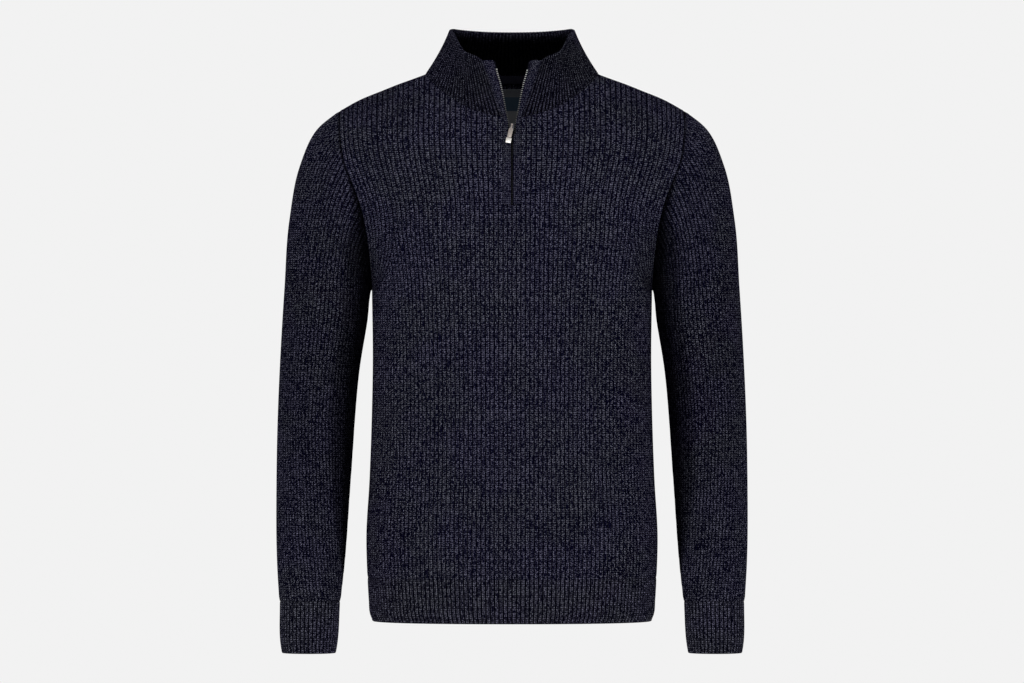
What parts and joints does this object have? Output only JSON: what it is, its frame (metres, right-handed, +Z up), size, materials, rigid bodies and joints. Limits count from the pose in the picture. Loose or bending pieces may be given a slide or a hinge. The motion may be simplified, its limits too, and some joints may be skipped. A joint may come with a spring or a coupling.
{
  "type": "quarter zip sweater",
  "caption": "Ribbed knit pullover with a stand collar and a short front zip, hollow and filled out as worn, open at neck, hem and cuffs; its pull tab swings.",
  "frame": {"origin": "middle of the neck opening, level with the high points of the shoulders, where the wearer's neck and shoulders hold the garment", "axes": "+Z up along the body, +X towards the wearer's left sleeve, -Y the front with the zip, +Y the back"},
  "size_m": [0.583, 0.2629, 0.773],
  "materials": {
    "knit": "matte navy marl yarn with pale grey flecks, rib knit",
    "knit_trim": "matte navy yarn, close fine knit",
    "tape": "matte woven tape",
    "label": "soft satin woven label, bare",
    "metal": "antique nickel, lightly worn"
  },
  "bodies": {
    "garment": {"front": "knit", "back": "knit", "hem_rib_front": "knit", "hem_rib_back": "knit", "sleeve_left": "knit", "sleeve_right": "knit", "cuff_left": "knit", "cuff_right": "knit", "collar": "knit", "placket_left": "knit_trim", "placket_right": "knit_trim", "zip_tape_left": "tape", "zip_tape_right": "tape", "neck_tape": "tape", "neck_label": "label", "zip_slider": "metal"},
    "pull_tab": {"zip_pull": "metal"}
  },
  "joints": [
    {"name": "pull_tab_hinge", "type": "hinge", "parent": "garment", "child": "pull_tab", "pos_m": [0, -0.09505, -0.06571], "axis": [-1, 0, 0], "range_deg": [0, 150]}
  ]
}
